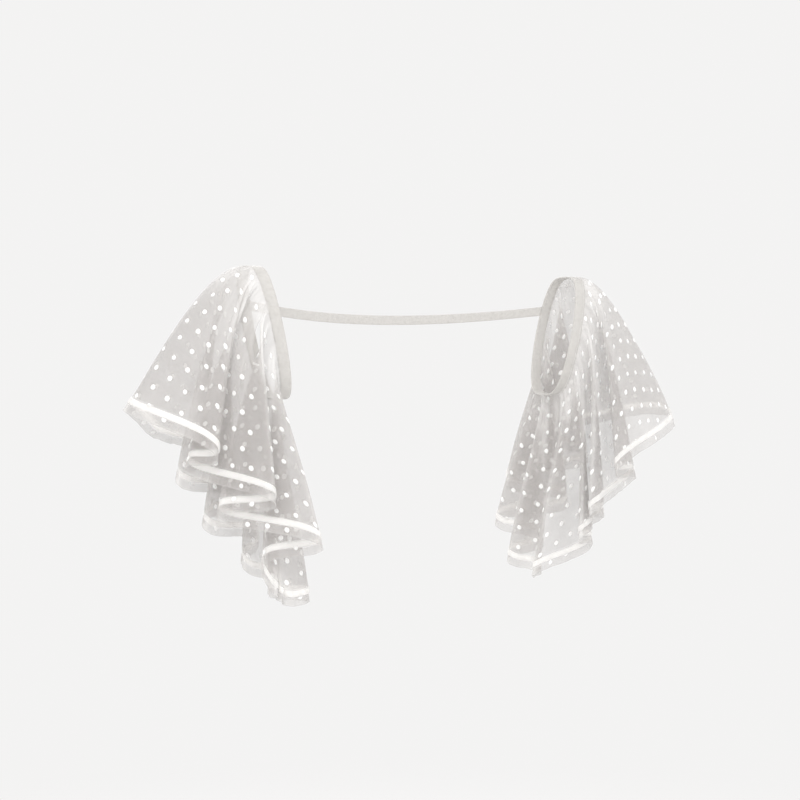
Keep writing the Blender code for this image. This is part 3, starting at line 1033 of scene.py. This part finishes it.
# %% Tack the ends of the slit
TACK_THREADS = 3
TACK_REACH = 1.5
TACK_STEP = 0.4
TACK_SLANT = 0.3
TACK_LIFT = NET_WALL / 2 + THREAD_RADIUS


def tack_slit(net):
    """A few threads across each end of the slit, which keep it from tearing on."""
    step = TACK_STEP * np.arange(TACK_THREADS)
    row = np.concatenate([SLIT_TOP * NET_ROWS - step, SLIT_FOOT * NET_ROWS + step])
    starts = on_net(net, slit_column() - TACK_REACH, row + TACK_SLANT, TACK_LIFT)
    ends = on_net(net, slit_column() + TACK_REACH, row - TACK_SLANT, TACK_LIFT)
    return stitches("slit_tack", starts, ends)


slit_tack = tack_slit(nets[RIGHT])

# %% [markdown]
# ## Armhole bands
# The band is a strip of the same net folded over the gathered edge, so it is denser and whiter than the
# flounce. Its colour is painted grey all the same, a painted shade that sets it off from the pale
# backdrop.
# Its section is a flat strip with round edges, carried round the armhole. The gathers inside it show as a
# slight unevenness, and a row of stitches holds them near its outer edge.

# %% The folded net's finish
YARN_SHADE = 0.45
DARK_STOP = 0.3


def folded_net():
    material, shader = start(
        "folded_net", Roughness=0.6, Sheen_Weight=0.35, Sheen_Roughness=0.4, Specular_IOR_Level=0.3
    )
    cut = flat_place(material)
    yarn = honeycomb(material, cut, uneven=0.6, thin=0.06, thick=0.26)
    alpha = node(material, "MapRange", None, Value=yarn, To_Min=0.58, To_Max=0.84)
    join(material, alpha.outputs["Result"], shader, "Alpha")
    cloud = node(material, "TexNoise", {"noise_dimensions": "2D"}, Vector=cut, Scale=260.0, Detail=3.0)
    add = {"operation": "MULTIPLY_ADD"}
    shade = node(material, "Math", add, _0=yarn, _1=YARN_SHADE, _2=cloud.outputs["Fac"]).outputs["Value"]
    # Painted shade: the white folded net is painted grey, varied by its yarn pattern and clouds.
    ramp = two_tone(material, shader, shade, (0.54, 0.522, 0.498), (0.66, 0.642, 0.616))
    ramp.elements[0].position = DARK_STOP
    emboss(material, shader, yarn, strength=0.35, distance=0.0002)
    return material


folded_finish = folded_net()
print("folded net finish made")

# %% Fold the bands
BAND_WALL = 0.0016
BAND_COLUMNS = 360
BAND_UNEVEN = 0.14
BAND_UNEVEN_MOST = 1.5
SECTION_FLAT = 8
SECTION_ROUND = np.radians([45.0, 0.0, -45.0])


def folded_section(width, wall):
    """Round a folded strip's section: places across it and out from its middle, and the way round."""
    r = wall / 2
    flat = np.linspace(r, width - r, SECTION_FLAT)
    far, near = width - r + r * np.cos(SECTION_ROUND), r - r * np.cos(SECTION_ROUND)
    across = np.concatenate([flat, far, flat[::-1], near])
    rise = r * np.sin(SECTION_ROUND)
    out = np.concatenate([r + 0 * flat, rise, -r + 0 * flat, -rise])
    ends = np.append(across, across[0]), np.append(out, out[0])
    return across, out, run_so_far(np.hypot(np.diff(ends[0]), np.diff(ends[1])))


def band_normal(side, angle):
    """Directions square to the band's cloth."""
    along = worn(side, armhole(angle + 0.5, 0.0)) - worn(side, armhole(angle - 0.5, 0.0))
    return unit(np.cross(along, OUTWARDS))


def fold_band(side):
    """A band, and its length round the armhole."""
    angle = np.arange(BAND_COLUMNS) * 360 / BAND_COLUMNS
    inner = worn(side, armhole(angle, 0.0))
    across, out, way = folded_section(BAND_WIDTH, BAND_WALL)
    rng = np.random.default_rng(CLOTH_SEED + 5 * side)
    bumps = softened(rng.uniform(-1, 1, (1, BAND_COLUMNS)), 2, 0)[0]
    puffed = 1 + BAND_UNEVEN * np.clip(bumps / bumps.std(), -BAND_UNEVEN_MOST, BAND_UNEVEN_MOST)
    points = inner[:, None] + (side * across)[None, :, None] * OUTWARDS
    points = points + (puffed[:, None] * out)[..., None] * band_normal(side, angle)[:, None]
    _, rings, places = grid_faces(BAND_COLUMNS + 1, len(across) + 1, False)
    faces = rings % BAND_COLUMNS * len(across) + places % len(across)
    along = run_so_far(steps(inner))
    flat = np.stack([along[rings], way[places]], -1)
    order = corner_order(side, RIGHT)
    piece = new_piece(f"band_{WORDS[side]}", points, faces[:, order], flat[:, order], folded_finish)
    print(f"{piece.name}: {along[-1]:.3f} m round")
    return piece, along[-1]


band_pieces, band_lengths = {}, {}
for side in (RIGHT, LEFT):
    band_pieces[side], band_lengths[side] = fold_band(side)

# %% Stitch the bands
BAND_STITCH_INSET = 0.0026
BAND_STITCH_LIFT = 0.00085
BAND_FINE_STEPS = 720


def band_stitches(side):
    """A row of stitches near a band's outer edge."""
    angle = np.linspace(0, 360, BAND_FINE_STEPS + 1)
    along = run_so_far(np.linalg.norm(np.diff(armhole(angle, 0.0), axis=0), axis=1))
    place = np.arange(0, along[-1] - STITCH_PITCH / 2, STITCH_PITCH)
    found = []
    for at in (place, place + STITCH_LENGTH):
        turn = np.interp(at, along, angle)
        cloth = worn(side, armhole(turn, BAND_WIDTH - BAND_STITCH_INSET))
        found.append(cloth + BAND_STITCH_LIFT * side * band_normal(side, turn))
    return stitches(f"band_stitches_{WORDS[side]}", *found)


band_stitch_pieces = {side: band_stitches(side) for side in (RIGHT, LEFT)}

# %% [markdown]
# ## Back strap
# The strap is the same folded net, a narrow strip from the back of one band to the back of the other. It
# bows out backwards and sags a little under its own weight. Its ends are tucked into the bands. The strip
# is carried along as the bands are, and edit mode then fills its two open ends.

# %% Fold the strap
STRAP_WIDTH = 0.011
STRAP_ANGLE = 296.0
STRAP_BOW = 0.050
STRAP_SAG = 0.012
STRAP_WALL = 0.0016
STRAP_TUCK = 0.001
STRAP_COLUMNS = 160


def strap_edges():
    """The strap's upper and lower edge, from the right band to the left one."""
    half_turn = math.degrees(STRAP_WIDTH / 2 / ARMHOLE_HALF_HEIGHT)
    share = np.linspace(0, 1, STRAP_COLUMNS + 1)[:, None]
    bow = (1 - (2 * share - 1) ** 2) * np.array([0.0, STRAP_BOW, -STRAP_SAG])
    edges = []
    for angle in (STRAP_ANGLE + half_turn, STRAP_ANGLE - half_turn):
        end = armhole(np.array(angle), STRAP_TUCK)
        edges.append(worn(RIGHT, end) + share * (worn(LEFT, end) - worn(RIGHT, end)) + bow)
    return edges


def fold_strap():
    """The strap, closed at both its ends, and its length."""
    top, foot = strap_edges()
    normal = unit(np.cross(np.gradient(top, axis=0), foot - top))
    across, out, way = folded_section(STRAP_WIDTH, STRAP_WALL)
    points = top[:, None] + across[None, :, None] * unit(foot - top)[:, None]
    points = points + out[None, :, None] * normal[:, None]
    _, rings, places = grid_faces(STRAP_COLUMNS + 1, len(across) + 1, False)
    faces = rings * len(across) + places % len(across)
    along = run_so_far(np.linalg.norm(np.diff(top, axis=0), axis=1))
    flat = np.stack([along[rings], way[places]], -1)
    piece = new_piece("strap_cloth", points, faces, flat, folded_finish)
    bpy.context.view_layer.objects.active = piece
    bpy.ops.object.mode_set(mode="EDIT")
    bpy.ops.mesh.select_all(action="DESELECT")
    bpy.ops.mesh.select_non_manifold()
    bpy.ops.mesh.fill_holes(sides=0)
    bpy.ops.object.mode_set(mode="OBJECT")
    print(f"{piece.name}: {along[-1]:.3f} m long")
    return piece, along[-1]


strap_piece, strap_length = fold_strap()

# %% [markdown]
# ## Hand over
# Each piece rides on the jacket's one body, and the solids that the net, ribbons, bands and strap stand
# for are hidden.

def declare(piece):
    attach(piece, "root")


for side, word in WORDS.items():
    net, cut = net_pieces[side], cuts[side]
    declare(net)
    declare(dot_pieces[side])
    declare(ribbon_pieces[side])
    declare(ribbon_stitch_pieces[side])
    declare(band_pieces[side])
    declare(band_stitch_pieces[side])
    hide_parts(f"flounce_{word}")
    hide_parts(f"ribbon_{word}")
    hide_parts(f"armhole_band_{word}")
    if side == RIGHT:
        declare(slit_tack)
declare(strap_piece)
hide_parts("back_strap")
